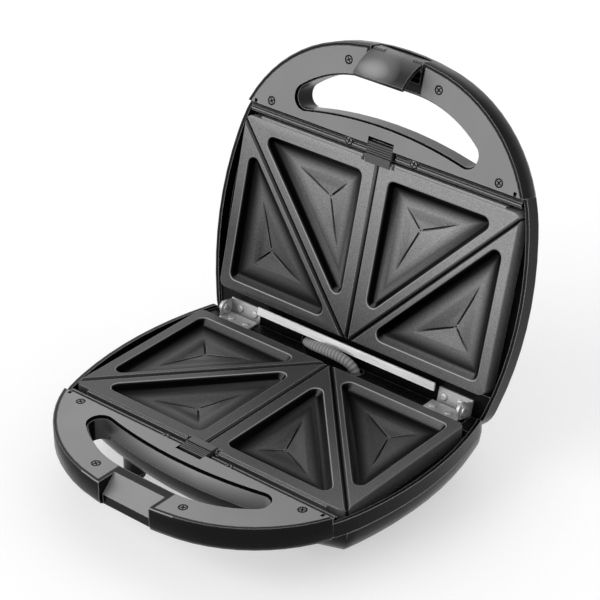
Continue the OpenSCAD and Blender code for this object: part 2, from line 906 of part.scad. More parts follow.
module rivet_set(is_lid) {
    x1 = is_lid ? ear_x : ear_x - sheet_t - 0.1;
    color([0.6, 0.6, 0.61])
        both_sides()
            for (x = [7.5, 20])
                translate([x1 - sheet_t - x, is_lid ? 0 : -3.4, -deck_d + 0.05 + sheet_t]) {
                    translate([0, 0, 0.02])
                        cylinder(r = 2.7, h = 1.1);
                    translate([0, 0, -sheet_t - 2])
                        cylinder(r = 1.45, h = sheet_t + 2.4, $fn = 32);
                }
}

// Shouldered hinge pin with a cross-recessed head inside and a hollow ring outside
module hinge_pin_pair() {
    x0 = ear_x - 2 * sheet_t - 0.1;
    color([0.66, 0.66, 0.67])
        both_sides()
            translate([0, 0, base_axis])
                rotate([0, 90, 0])
                    difference() {
                        union() {
                            translate([0, 0, x0 - 1.6])
                                cylinder(r = 3.7, h = 1.55);
                            translate([0, 0, x0 - 1])
                                cylinder(r = pin_r, h = 2 * sheet_t + 2);
                            translate([0, 0, ear_x + 0.06])
                                cylinder(r = 3.7, h = 0.9);
                        }
                        translate([0, 0, ear_x - 2])
                            cylinder(r = 1.2, h = 4, $fn = 32);
                        for (a = [0, 90])
                            rotate([0, 0, a])
                                box(-2.2, 2.2, -0.4, 0.4, x0 - 3, x0 - 0.9);
                    }
}

// Tapered rubber feet under the pan
module foot_set() {
    color([0.08, 0.08, 0.08])
        both_sides()
            for (p = foot_places)
                translate([p[0], p[1], -split_z]) {
                    cylinder(r = foot_r - 0.6, h = 1);
                    translate([0, 0, 1])
                        cylinder(r = foot_r, h = foot_h - 1 - 0.05);
                }
}

module pan_screw_set() {
    color([0.35, 0.35, 0.36])
        both_sides()
            for (p = pan_screw_places)
                translate([p[0], p[1], -base_depth + 2.95])
                    mirror([0, 0, 1])
                        screw(2.9, 1.2, base_depth - tab_z - 0.5);
}

module dome_screw_set() {
    color([0.35, 0.35, 0.36])
        both_sides()
            for (p = pan_screw_places)
                translate([p[0], p[1], -seam_d + 0.2])
                    screw(2.9, 1.2, 12);
}

// Bush in the rear wall with an open passage
gland_c = [-62, -27.4];

module gland() {
    color([0.07, 0.07, 0.07])
        translate([gland_c[0], body_rear - 14.4, gland_c[1]])
            rotate([-90, 0, 0])
                difference() {
                    union() {
                        cylinder(r = 4.6, h = 14.4, $fn = 32);
                        cylinder(r = 5.2, h = 2);
                        translate([0, 0, 13.2])
                            cylinder(r = 5.2, h = 2.2);
                    }
                    translate([0, 0, -10])
                        cylinder(r = 3.1, h = 40, $fn = 32);
                }
}

module bulb_thermostat() {
    color([0.78, 0.76, 0.7])
        translate([0, plate_c[1], -reflector_d - 6.6]) {
            cylinder(r = 8, h = 6.5);
            box(-12, 12, -3, 3, 5.7, 6.5);
            both_sides()
                box(8, 13, -2, 2, 1.5, 2.3);
        }
}

module fuse() {
    color([0.85, 0.84, 0.8])
        translate([36, plate_c[1] + 14, -reflector_d - 3]) {
            rod_x(-10, 10, 0, 2.6);
            rod_x(-15, 15, 0, 0.7);
        }
}

module terminals() {
    color([0.88, 0.87, 0.82])
        translate([-40, plate_c[1] - 22, -base_depth + wall + 0.1])
            difference() {
                box(-16, 16, -6, 6, 0, 7.5);
                for (x = [-10.5, 0, 10.5])
                    translate([x, 0, 3])
                        cylinder(r = 2.2, h = 10, $fn = 32);
            }
}

// Two insulated leads from the gland to the terminal block
module wire_set() {
    z = -base_depth + wall + 4.6;
    color([0.7, 0.68, 0.64])
        for (x = [-1.5, 1.5])
            tube(bezier([[gland_c[0] + x, 5, gland_c[1]], [gland_c[0] + x, -8, gland_c[1]],
                [gland_c[0] + x, -22, z], [-40 + 3.5 * x, plate_c[1] - 12, z],
                [-40 + 3.5 * x, plate_c[1] - 15.7, z]], 14), 1.1, 1.1, 10);
}

// Bright angle strip along the lid deck between the brackets
module strip() {
    color([0.86, 0.86, 0.87]) {
        box(-ear_x + leaf_l + 1.7, ear_x - leaf_l - 1.7, -8.4, -2.9, -1, 0.2);
        both_sides() {
            for (x = [8, ear_x - 39.7])
                box(x - 2, x + 2, -5.6, -4.4, -deck_d + 0.05, -0.9);
        }
    }
}

module lamp_pair() {
    for (s = [-1, 1])
        color(s < 0 ? [0.7, 0.05, 0.04] : [0.05, 0.55, 0.12])
            translate([s * lamp_x, lamp_y, -lid_depth - 0.6]) {
                cylinder(r = lamp_r, h = 5, $fn = 32);
                translate([0, 0, 3.2])
                    cylinder(r = lamp_r + 1, h = 1.6);
            }
}

module lamp_carrier() {
    color([0.75, 0.66, 0.45])
        union() {
            box(-20, 20, lamp_y - 6, lamp_y + 6, -lid_depth + 6.2, -lid_depth + 7.8);
            both_sides()
                box(17, 19, lamp_y - 2, lamp_y + 2, -lid_depth + wall + 0.1, -lid_depth + 6.4);
        }
    color([0.85, 0.8, 0.75])
        for (s = [-1, 1])
            translate([s * lamp_x, lamp_y, -lid_depth + 4.5])
                cylinder(r = 1.8, h = 1.9, $fn = 32);
}

// The latch pin lies across the bay of the lid handle
latch_c = [-body_front + latch_y, -latch_z];

module latch_rod() {
    color([0.6, 0.6, 0.61])
        translate([-notch_w - 1.5, latch_c[0], latch_c[1]])
            rotate([0, 90, 0])
                cylinder(r = latch_pin_r, h = 2 * notch_w + 3, $fn = 32);
}

module latch_coil() {
    color([0.65, 0.65, 0.66])
        for (i = [0:3])
            translate([-6 + i * 1.5, latch_c[0], latch_c[1]])
                rotate([0, 90, 0])
                    rotate_extrude()
                        translate([1.55, 0])
                            circle(r = 0.3, $fn = 16);
}

// Curved cover that swings on the pin, with a hook along its free edge
latch_o = [24.6, 6.5];
function latch_arc(r, a, b, n) = [for (i = [0:n])
    let (t = a + (b - a) * i / n) [latch_o[0] + r * cos(t), r * sin(t) - latch_o[1]]];

module latch_body() {
    color([0.1, 0.1, 0.1])
        translate([-latch_w / 2, latch_c[0], latch_c[1]])
            rotate([90, 0, 90])
                linear_extrude(latch_w)
                    polygon(concat(latch_arc(latch_r, 180, 118, 16),
                        [[13.1, 17.5], [12.1, 15.2]],
                        latch_arc(latch_r - latch_t, 121, 152, 8),
                        [[-1.9, 2.2], [-2.3, -6.3]]));
    color([0.1, 0.1, 0.1])
        for (x = [[-latch_w / 2, 8], [latch_w / 2 - 8, 8]])
            translate([x[0], latch_c[0], latch_c[1]])
                rotate([0, 90, 0])
                    difference() {
                        union() {
                            cylinder(r = 2.6, h = x[1]);
                            translate([-1.2, -4.4, 0])
                                cube([3.6, 4, x[1]]);
                        }
                        translate([0, 0, -1])
                            cylinder(r = latch_pin_r + 0.05, h = x[1] + 2, $fn = 32);
                    }
}

// Point of the lid frame in base coordinates
function lid_point(x, y, h) =
    let (z = lid_axis - h)
    [x, y * cos(open_angle) + z * sin(open_angle), z * cos(open_angle) - y * sin(open_angle) - axis_drop];

// Curve steered by the points p, as n + 1 points
function mix(p, t) = len(p) == 1 ? p[0] : mix([for (i = [0:len(p) - 2]) p[i] * (1 - t) + p[i + 1] * t], t);
function bezier(p, n) = [for (i = [0:n]) mix(p, i / n)];

// Closed tube along a curve, a wide and b thick
module tube(path, a, b, n) {
    last = len(path) - 1;
    rings = [for (i = [0:last])
        let (t = unit(path[min(i + 1, last)] - path[max(i - 1, 0)]))
        let (u = unit(cross(t, [0.9, 0.1, 0.3])), v = cross(t, u))
        for (k = [0:n - 1]) path[i] + u * b * cos(360 * k / n) + v * a * sin(360 * k / n)];
    polyhedron(rings, concat(
        [[for (k = [0:n - 1]) k]],
        [for (i = [0:last - 1]) for (k = [0:n - 1]) for (half = [0, 1])
            half == 0 ? [i * n + k, (i + 1) * n + k, (i + 1) * n + (k + 1) % n]
            : [i * n + k, (i + 1) * n + (k + 1) % n, i * n + (k + 1) % n]],
        [[for (k = [n - 1:-1:0]) last * n + k]]));
}

// Braided lead sleeve from the base deck to the lid deck, bent beside the hinge axis
module sleeve_lead() {
    path = bezier([[sleeve_base_x, -1, -13.5], [sleeve_base_x, -1, -8], [sleeve_base_x + 1, -1, -4],
        [sleeve_base_x - 1, -1.2, 3], [sleeve_base_x - 18, -2.6, 2.4], [sleeve_lid_x + 11, -0.4, 0],
        lid_point(sleeve_lid_x - 1, sleeve_lid_y, 3.2), lid_point(sleeve_lid_x, sleeve_lid_y, -5),
        lid_point(sleeve_lid_x, sleeve_lid_y, -13.5)], 20);
    color([0.6, 0.6, 0.62])
        tube(path, sleeve_r, sleeve_r * 0.72, 16);
}

module base_shell() { color([0.12, 0.12, 0.12]) upper_shell(base_axis, false); }
module base_pan() { color([0.1, 0.1, 0.1]) lower_shell(base_axis, base_depth, false); }
module lid_shell() { color([0.12, 0.12, 0.12]) upper_shell(lid_axis, true); }
module lid_dome() { color([0.1, 0.1, 0.1]) lower_shell(lid_axis, lid_depth, true); }

to_base() base_shell();
to_base() base_pan();
to_base() panel(false);  // base_panel
to_base() panel_screw_set();  // base_panel_screws
to_base() rail_screw_set();  // base_rail_screws
to_base() plate();  // base_plate
to_base() heater();  // base_heater
to_base() reflector();  // base_reflector
to_base() clip();  // base_clip
to_base() bracket_pair(base_axis, false);  // base_brackets
to_base() rivet_set(false);  // base_rivets
to_base() hinge_pin_pair();  // hinge_pins
to_base() foot_set();  // feet
to_base() pan_screw_set();  // pan_screws
to_base() gland();  // cord_gland
to_base() bulb_thermostat();  // thermostat
to_base() fuse();  // thermal_fuse
to_base() terminals();  // terminal_block
to_base() wire_set();  // base_wires
to_lid() lid_shell();
to_lid() lid_dome();
to_lid() dome_screw_set();  // dome_screws
to_lid() panel(true);  // lid_panel
to_lid() panel_screw_set();  // lid_panel_screws
to_lid() rail_screw_set();  // lid_rail_screws
to_lid() plate();  // lid_plate
to_lid() heater();  // lid_heater
to_lid() reflector();  // lid_reflector
to_lid() clip();  // lid_clip
to_lid() bracket_pair(lid_axis, true);  // lid_brackets
to_lid() rivet_set(true);  // lid_rivets
to_lid() strip();  // lid_strip
to_lid() lamp_pair();  // lamps
to_lid() lamp_carrier();  // lamp_board
to_lid() latch_rod();  // latch_pin
to_lid() latch_coil();  // latch_spring
to_lid() latch_body();  // latch
to_base() sleeve_lead();  // sleeve
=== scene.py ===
import json
import math

import bmesh
import bpy
from mathutils import Matrix, Vector
from mathutils.geometry import intersect_line_line


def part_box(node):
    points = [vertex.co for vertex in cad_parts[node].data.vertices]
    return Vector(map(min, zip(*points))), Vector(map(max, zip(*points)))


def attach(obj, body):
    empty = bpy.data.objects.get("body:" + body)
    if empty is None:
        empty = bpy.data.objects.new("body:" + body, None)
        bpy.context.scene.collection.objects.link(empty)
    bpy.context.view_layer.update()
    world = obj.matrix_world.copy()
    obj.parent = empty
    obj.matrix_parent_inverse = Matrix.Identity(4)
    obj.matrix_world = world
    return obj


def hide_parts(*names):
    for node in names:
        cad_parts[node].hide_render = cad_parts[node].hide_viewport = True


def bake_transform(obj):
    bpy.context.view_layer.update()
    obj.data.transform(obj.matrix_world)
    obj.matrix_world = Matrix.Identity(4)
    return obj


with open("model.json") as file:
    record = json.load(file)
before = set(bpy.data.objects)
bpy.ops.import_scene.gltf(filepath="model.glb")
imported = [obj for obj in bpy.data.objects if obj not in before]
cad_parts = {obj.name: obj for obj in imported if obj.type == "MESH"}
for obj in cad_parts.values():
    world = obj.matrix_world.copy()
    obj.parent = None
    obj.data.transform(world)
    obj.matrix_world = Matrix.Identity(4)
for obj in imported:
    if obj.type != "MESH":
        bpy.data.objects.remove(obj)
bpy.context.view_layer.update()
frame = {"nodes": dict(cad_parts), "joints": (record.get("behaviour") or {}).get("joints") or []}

# %% [markdown]
# # A sandwich toaster, dressed for its picture
#
# The solids of the toaster come in already built, in metres, with the lid open on its hinge. The work here is
# what a catalogue photograph needs on top of them: rounded mouldings, coated plates, plated steel, a woven
# sleeve, and soft light. The camera goes in first, because every later choice is judged through it.

# %% Camera
CAMERA_PLACE = (0.77811, -0.90724, 0.81756)
CAMERA_TILT = (math.radians(59.56), 0.0, math.radians(39.86))

camera_data = bpy.data.cameras.new("camera")
camera_data.sensor_width = 36.0
camera_data.lens = 136.443
camera_data.clip_start = 0.05
camera_data.clip_end = 60.0
camera = bpy.data.objects.new("camera", camera_data)
camera.location = CAMERA_PLACE
camera.rotation_euler = CAMERA_TILT
bpy.context.scene.collection.objects.link(camera)
bpy.context.scene.camera = camera
print("camera stands", round(camera.location.length, 3), "m from the toaster")

# %% [markdown]
# ## Light and floor
#
# The toaster stands in a white room. Three broad suns do the lighting: a strong one in front, a weaker one
# behind that grazes the upward faces so that black mouldings still show their tops, and a weak one at the
# side. A sun gives the same light everywhere, so the floor stays even right out to the horizon, where area
# lamps would leave pools. The world is white to the camera and to reflections, and dimmer as a light, which
# keeps the shadow under the feet.

# %% Shader maths
class Value:
    """One output of a shader tree, so that maths on it can be written with +, - and *."""

    def __init__(self, socket):
        self.socket = socket

    def math(self, operation, *terms):
        tree = self.socket.id_data
        return make_node(tree, "ShaderNodeMath", {"operation": operation}, dict(enumerate(terms)))

    def __add__(self, other):
        return self.math("ADD", self, other)

    def __sub__(self, other):
        return self.math("SUBTRACT", self, other)

    def __mul__(self, other):
        return self.math("MULTIPLY", self, other)

    def __rsub__(self, other):
        return self.math("SUBTRACT", other, self)

    __radd__ = __add__
    __rmul__ = __mul__


def make_node(tree, kind, settings=None, inputs=None, out=0):
    """Adds a node: its settings first, then the numbers or links of its sockets. Gives one output."""
    made = tree.nodes.new(kind)
    for key, setting in (settings or {}).items():
        if key == "stops":
            ramp = made.color_ramp
            while len(ramp.elements) < len(setting):
                ramp.elements.new(0.5)
            for element, (place, shade) in zip(ramp.elements, setting):
                element.position = place
                element.color = (shade, shade, shade, 1.0)
        else:
            setattr(made, key, setting)
    for key, given in (inputs or {}).items():
        if isinstance(given, Value):
            tree.links.new(given.socket, made.inputs[key])
        else:
            made.inputs[key].default_value = given
    return Value(made.outputs[out])


def linear(level):
    """The linear value of a picture level from 0 to 255."""
    share = level / 255.0
    return share / 12.92 if share <= 0.04045 else ((share + 0.055) / 1.055) ** 2.4


def tone(level, warm=0.0):
    """A grey colour, a little warmer or cooler."""
    base = linear(level)
    return (base * (1 + warm), base, base * (1 - warm), 1.0)


# %% World
AMBIENT = 0.55

world = bpy.data.worlds.new("studio")
bpy.context.scene.world = world
world.use_nodes = True
room = world.node_tree
room.nodes.clear()
ray = room.nodes.new("ShaderNodeLightPath").outputs
seen = Value(ray["Is Camera Ray"]).math("MAXIMUM", Value(ray["Is Camera Ray"]), Value(ray["Is Glossy Ray"]))
seen = seen.math("MAXIMUM", seen, Value(ray["Is Transmission Ray"]))
sky = make_node(room, "ShaderNodeBackground", {},
                {"Color": (1.0, 1.0, 1.0, 1.0), "Strength": seen * (1.0 - AMBIENT) + AMBIENT})
room_out = room.nodes.new("ShaderNodeOutputWorld")
room.links.new(sky.socket, room_out.inputs["Surface"])
print("the white room lights at", AMBIENT)

# %% Suns
def add_sun(name, azimuth, elevation, power, spread):
    """A sun that shines from that side: azimuth 0 is in front, 90 on the toaster's right."""
    data = bpy.data.lights.new(name, "SUN")
    data.energy = power
    data.angle = math.radians(spread)
    sun = bpy.data.objects.new(name, data)
    a, e = math.radians(azimuth), math.radians(elevation)
    back = Vector((math.sin(a) * math.cos(e), -math.cos(a) * math.cos(e), math.sin(e)))
    sun.rotation_euler = back.to_track_quat("Z", "Y").to_euler()
    bpy.context.scene.collection.objects.link(sun)
    return sun


suns = [
    add_sun("front_sun", -32, 26, 1.5, 56),
    add_sun("back_sun", 218, 38, 0.55, 60),
    add_sun("side_sun", 105, 30, 0.3, 50),
]
print("lit by", [lamp.name for lamp in suns])

# %% Floor
FLOOR_GREY = (0.55, 0.55, 0.55, 1.0)
FLOOR_LIFT = (0.5, 0.5, 0.5, 1.0)
NO_LIGHT = (0.0, 0.0, 0.0, 1.0)
FLOOR_HALF = 12.0

floor_mesh = bpy.data.meshes.new("floor")
floor_sheet = bmesh.new()
bmesh.ops.create_grid(floor_sheet, x_segments=1, y_segments=1, size=FLOOR_HALF)
floor_sheet.to_mesh(floor_mesh)
floor_sheet.free()
floor = bpy.data.objects.new("floor", floor_mesh)
bpy.context.scene.collection.objects.link(floor)
floor_paint = bpy.data.materials.new("pale_floor")
floor_paint.use_nodes = True
floor_shader = floor_paint.node_tree.nodes["Principled BSDF"]
floor_shader.inputs["Base Color"].default_value = FLOOR_GREY
floor_shader.inputs["Roughness"].default_value = 0.7
floor_shader.inputs["Specular IOR Level"].default_value = 0.2
floor_rays = floor_paint.node_tree.nodes.new("ShaderNodeLightPath").outputs
floor_seen = Value(floor_rays["Is Camera Ray"]) + Value(floor_rays["Is Glossy Ray"])
floor_seen = floor_seen + Value(floor_rays["Is Transmission Ray"])
lift = make_node(floor_paint.node_tree, "ShaderNodeMix", {"data_type": "RGBA"},
                 {"Factor": floor_seen, 6: NO_LIGHT, 7: FLOOR_LIFT}, out=2)
floor_paint.node_tree.links.new(lift.socket, floor_shader.inputs["Emission Color"])
floor_shader.inputs["Emission Strength"].default_value = 1.0
floor_mesh.materials.append(floor_paint)

bpy.context.scene.view_settings.view_transform = "Standard"
print("the floor reaches", FLOOR_HALF, "m each way")

# %% [markdown]
# ## Where the pieces go
#
# Base and lid are twins: both are drawn flat, panel upwards, with the hinge line at y = 0, and the lid's twin
# is then turned over and swung open. Pieces are shaped in that flat frame in millimetres, where "down" is
# always into the moulding, and one matrix for each half brings them into place.

# %% Flat frames
MM = 0.001
joints = {joint["name"]: joint for joint in frame["joints"]}
hinge_line = Vector(joints["lid_hinge"]["pos_m"])
slide = Vector(joints["lid_clip_slide"]["axis"])
open_turn = math.pi - math.atan2(slide.z, slide.y)
panel_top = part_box("base_panel")[1].z
axis_drop = panel_top - hinge_line.z
PANEL_GAP = 1.6 * MM
FLAT_AREA = 450.0

BASE = Matrix.Translation((0.0, hinge_line.y, panel_top)) @ Matrix.Scale(MM, 4)
LID = (
    Matrix.Translation(hinge_line)
    @ Matrix.Rotation(-open_turn, 4, "X")
    @ Matrix.Translation((0.0, 0.0, PANEL_GAP + axis_drop))
    @ Matrix.Diagonal((MM, MM, -MM, 1.0))
)
print("the lid stands open by", round(math.degrees(open_turn), 2), "degrees")

# %% Copying a solid and handing a piece back
def flat_copy(node, place):
    """The node's own mesh in the flat frame, its loose triangles merged into whole faces."""
    piece = bmesh.new()
    piece.from_mesh(frame["nodes"][node].data)
    piece.transform(place.inverted())
    if place.determinant() < 0:
        bmesh.ops.reverse_faces(piece, faces=piece.faces)
    bmesh.ops.remove_doubles(piece, verts=piece.verts, dist=0.002)
    bmesh.ops.dissolve_limit(piece, angle_limit=math.radians(0.4), verts=piece.verts, edges=piece.edges)
    return piece


def set_down(name, piece, place, body, finishes, sharp=35.0, stands_for=()):
    """Turns a piece in the flat frame into an object of the toaster, smooth up to that angle."""
    piece.transform(place)
    if place.determinant() < 0:
        bmesh.ops.reverse_faces(piece, faces=piece.faces)
    piece.normal_update()
    for edge in piece.edges:
        edge.smooth = len(edge.link_faces) == 2 and edge.calc_face_angle(9.0) < math.radians(sharp)
    for face in piece.faces:
        face.smooth = face.calc_area() < FLAT_AREA * MM * MM
    mesh = bpy.data.meshes.new(name)
    piece.to_mesh(mesh)
    piece.free()
    item = bpy.data.objects.new(name, mesh)
    bpy.context.scene.collection.objects.link(item)
    for finish in finishes:
        mesh.materials.append(finish.material)
    if body:
        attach(item, body)
    if stands_for:
        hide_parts(*stands_for)
    print(name, len(mesh.polygons), "faces")
    return item


# %% [markdown]
# ## Finishes
#
# A real toaster of this kind is black moulded plastic, grey lacquered panels, dark non-stick castings, zinc
# plated steel and a little rubber and ceramic. Each of these could be a photograph wrapped on the piece, but
# a painted recipe has no seams and works at any distance. So one small class mixes every finish: it reads the
# place on the piece in millimetres, adds noise for grain and wear, and softens the normal along edges, where
# light catches first on a real edge that is never quite sharp.

# %% Paint bench
X_AXIS, Z_AXIS = 0, 2


class Finish:
    """A Principled material being mixed, with places on the piece in millimetres."""

    def __init__(self, name, colour, rough, metal=0.0, edge=0.3, **constants):
        self.material = bpy.data.materials.new(name)
        self.material.use_nodes = True
        self.tree = self.material.node_tree
        self.shader = self.tree.nodes["Principled BSDF"]
        self.shader.inputs["Base Color"].default_value = colour
        self.shader.inputs["Roughness"].default_value = rough
        self.shader.inputs["Metallic"].default_value = metal
        for socket, number in constants.items():
            self.shader.inputs[socket.replace("_", " ")].default_value = number
        place = self.tree.nodes.new("ShaderNodeTexCoord").outputs["Object"]
        self.place = self.add("ShaderNodeVectorMath", {"operation": "SCALE"},
                              {0: Value(place), "Scale": 1000.0})
        self.edge = edge
        print("finish", name)

    def add(self, kind, settings=None, inputs=None, out=0):
        return make_node(self.tree, kind, settings, inputs, out)

    def axis(self, number):
        """The place along x, y or z in millimetres."""
        return self.add("ShaderNodeSeparateXYZ", {}, {0: self.place}, out=number)

    def noise(self, per_mm, detail=2.0, stretch=(1.0, 1.0, 1.0)):
        """Cloudy noise from 0 to 1, with so many lumps to the millimetre."""
        at = self.add("ShaderNodeMapping", {"vector_type": "POINT"},
                      {"Vector": self.place, "Scale": stretch})
        return self.add("ShaderNodeTexNoise", {"noise_dimensions": "3D"},
                        {"Vector": at, "Scale": per_mm, "Detail": detail})

    def ramp(self, value, *stops):
        """A value taken through a ramp of (place, level) stops."""
        return self.add("ShaderNodeValToRGB", {"stops": stops}, {"Fac": value})

    def blend(self, factor, first, second):
        """Mixes two colours."""
        return self.add("ShaderNodeMix", {"data_type": "RGBA"},
                        {"Factor": factor, 6: first, 7: second}, out=2)

    def mark(self, attribute):
        """A number painted on the piece's own points."""
        return self.add("ShaderNodeAttribute", {"attribute_name": attribute}, {}, out=2)

    def edges(self, reach_mm, gain):
        """1 along sharp edges, where a softened normal turns away from the true one, and 0 elsewhere.
        The finishes paint their edge highlights, and on the metals their edge shade, by it.
        """
        soft = self.add("ShaderNodeBevel", {"samples": 6}, {"Radius": reach_mm * MM})
        true = self.add("ShaderNodeNewGeometry", {}, {}, out=1)
        same = self.add("ShaderNodeVectorMath", {"operation": "DOT_PRODUCT"}, {0: soft, 1: true}, out=1)
        return same.math("MINIMUM", (1.0 - same) * gain, 1.0)

    def feed(self, socket, value):
        self.tree.links.new(value.socket, self.shader.inputs[socket])

    def bump(self, height, depth_mm, strength=1.0):
        """Turns a height from 0 to 1 into relief of that many millimetres, on softened edges."""
        inputs = {"Height": height, "Distance": depth_mm * MM, "Strength": strength}
        if self.edge:
            inputs["Normal"] = self.add("ShaderNodeBevel", {"samples": 4}, {"Radius": self.edge * MM})
        self.feed("Normal", self.add("ShaderNodeBump", {}, inputs))


# %% [markdown]
# ## Blacks and greys
#
# The mouldings are polished black, and in a white studio they only read as black if they mirror little. A low
# specular level and some metallic share keep them dark, and pale thin lines along the edges draw their form.
# The latch is glossier. The soft sheen on its curve and the pale edge lines are painted highlights in the
# colour, as they lie in the reference picture, so they stay under any other light. Recesses and the joints
# round the panels are painted near black as shade. The panels are grey lacquer with a fine grain, with a
# painted highlight along their edges.

# %% Black moulding
black = Finish("black_moulding", tone(22), 0.25, 0.35, edge=0.5, Specular_IOR_Level=0.13)
haze = black.noise(0.05, 3.0)
peel = black.noise(0.6, 1.0)
scuff = black.ramp(black.noise(0.9, 4.0, stretch=(1.0, 0.12, 0.3)), (0.0, 0.0), (0.64, 0.0), (0.74, 1.0))
black.feed("Roughness", haze * 0.14 + scuff * 0.1 + 0.2)
moulded = black.blend(haze, tone(10), tone(18))
# Pale lines along the edges are a painted highlight.
black.feed("Base Color", black.blend(black.edges(0.8, 12.0), moulded, tone(136)))
black.bump(peel + scuff * 0.1, 0.02, 0.3)

# %% Latch plastic
# Painted highlight: a soft sheen on the latch's curve, centred here.
SHINE_X = -7.0
SHINE_WIDE = 20.0
SHINE_HIGH = 6.5

glossy = Finish("glossy_black", tone(30), 0.3, edge=0.7,
                Specular_IOR_Level=0.25, Coat_Weight=0.15, Coat_Roughness=0.2)
wear = glossy.noise(0.05, 2.0, stretch=(1.0, 0.4, 0.4))
latch_low, latch_high = (Vector(corner) * 1000.0 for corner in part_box("latch"))
across = glossy.axis(X_AXIS) - SHINE_X
upward = glossy.axis(Z_AXIS) - (latch_low.z + latch_high.z) * 0.5
across, upward = across * (1.0 / SHINE_WIDE), upward * (1.0 / SHINE_HIGH)
shine = glossy.ramp(across * across + upward * upward, (0.0, 0.6), (0.4, 0.2), (1.0, 0.0))
lit = glossy.blend(shine, tone(10), tone(190))
# Pale lines along the latch's edges are a painted highlight too.
glossy.feed("Base Color", glossy.blend(glossy.edges(0.6, 6.0), lit, tone(165)))
glossy.feed("Roughness", wear * 0.16 + 0.26)
glossy.bump(glossy.noise(0.6, 1.0), 0.02, 0.3)

# %% Painted shade black
# Near black painted shade for the panels' cut sides and wells and the screws' crosses, rims and rings.
shade_paint = Finish("painted_shade_black", tone(5), 0.6, 0.9)
grime = shade_paint.noise(1.5, 2.0)
shade_paint.feed("Roughness", grime * 0.2 + 0.5)
shade_paint.bump(grime, 0.05, 0.4)

# %% Grey panel
satin = Finish("grey_panel", tone(128), 0.45, 0.15, edge=0.25)
grain = satin.noise(2.2, 2.0)
cloud = satin.noise(0.02, 2.0)
lacquer = satin.blend(cloud, tone(116), tone(134))
# Pale lines along the panel's edges are a painted highlight.
satin.feed("Base Color", satin.blend(satin.edges(0.4, 6.0), lacquer, tone(196)))
satin.feed("Roughness", grain * 0.14 + 0.42)
satin.bump(grain, 0.02, 0.3)

# %% [markdown]
# ## Coating of the cooking plates
#
# The coating is dull and slightly sandy. The real one has one colour, but in the reference picture the
# studio light leaves its pocket walls almost black, its rims pale, and the lower plate and the hinge end of
# the upper one darkest. Lamps alone didn't give these tones, so they are painted into the colour, and stay
# there under any other light. The plates carry three painted numbers from their pressing: "shade" on the
# walls, "glint" on the rims and "fold" in the scored lines. The recipe mixes the colours by these numbers
# and by height.

# %% Plate coating
DIM_BELOW = 56.0
DIM_FADE = 105.0

coating = Finish("plate_coating", tone(118), 0.42, 0.2, edge=0.3, Specular_IOR_Level=0.25)
speck = coating.ramp(coating.noise(1.5, 4.0), (0.3, 0.0), (0.7, 1.0))
height = coating.axis(Z_AXIS)
aside = coating.axis(X_AXIS)
# Painted light: the coat is darker low down and lighter higher up and to the right.
bright = coating.ramp((height - DIM_BELOW + aside * 0.35) * (1.0 / DIM_FADE), (0.0, 0.0), (1.0, 1.0))
dim = coating.blend(speck, tone(46), tone(80))
coated = coating.blend(bright, dim, coating.blend(speck, tone(116), tone(160)))
# Painted highlight along the edges, painted shade on the pocket walls and in the folds, and a painted glint
# on the rims.
edge_highlit = coating.blend(coating.edges(0.6, 6.0), coated, tone(190))
walls_shaded = coating.blend(coating.mark("shade"), edge_highlit, tone(5))
rims_highlit = coating.blend(coating.mark("glint"), walls_shaded, tone(176))
scored = coating.mark("fold").math("POWER", coating.mark("fold"), 0.3)
coating.feed("Base Color", coating.blend(scored, rims_highlit, tone(3)))
# Where the painted shade lies, the coat turns metallic too, so that its black mirrors almost nothing.
dark = coating.mark("shade").math("MAXIMUM", coating.mark("shade"), coating.mark("fold"))
coating.feed("Metallic", dark * 0.8 + 0.2)
coating.feed("Roughness", speck * 0.2 + 0.32)
coating.bump(speck, 0.06, 0.5)

# %% [markdown]
# ## Metals and small parts
#
# Hinge sheet is zinc plated, the strip is bright rolled sheet, screws are darkened, and heating elements are
# tinted by heat. A real brushed surface has long fine scratches, which a stretched noise gives. On the hinge
# sheet its relief is kept at a few thousandths of a millimetre, because more makes it look crumpled.

# %% Hinge sheet and strip
plated = Finish("plated_steel", tone(190), 0.4, 0.5, edge=0.0)
brush = plated.noise(1.2, 3.0, stretch=(0.15, 2.0, 2.0))
plain = plated.blend(brush, tone(168), tone(206))
# Darker lines along the sheet's edges are painted shade.
plated.feed("Base Color", plated.blend(plated.edges(0.25, 8.0), plain, tone(70)))
plated.feed("Roughness", brush * 0.16 + 0.28)
plated.bump(brush, 0.004, 0.4)

rolled = Finish("rolled_sheet", tone(225), 0.3, 0.85, edge=0.2)
roll = rolled.noise(0.6, 3.0, stretch=(0.05, 1.5, 1.5))
sheet = rolled.blend(roll, tone(214), tone(250))
# Darker lines along the strip's edges are painted shade.
rolled.feed("Base Color", rolled.blend(rolled.edges(0.3, 8.0), sheet, tone(90)))
rolled.feed("Roughness", roll * 0.25 + 0.2)
rolled.bump(roll, 0.02, 0.3)

# %% Screw and element steel
screw_steel = Finish("screw_steel", tone(110), 0.4, 0.6, edge=0.1)
turning = screw_steel.noise(2.0, 2.0)
screw_steel.feed("Base Color", screw_steel.blend(turning, tone(84), tone(128)))
screw_steel.feed("Roughness", turning * 0.3 + 0.22)
screw_steel.bump(turning, 0.01, 0.4)

element = Finish("element_steel", tone(110), 0.4, 0.9, edge=0.0)
heat = element.noise(0.12, 3.0)
element.feed("Base Color", element.blend(heat, tone(88, 0.06), tone(138, -0.04)))
element.feed("Roughness", heat * 0.3 + 0.3)
element.bump(element.noise(2.0, 3.0), 0.05, 0.5)

# %% Rubber and ceramic
rubber = Finish("rubber", tone(50), 0.8, edge=0.4)
dust = rubber.noise(0.8, 4.0)
rubber.feed("Base Color", rubber.blend(dust, tone(42), tone(66)))
rubber.feed("Roughness", dust * 0.2 + 0.7)
rubber.bump(dust, 0.08, 0.6)

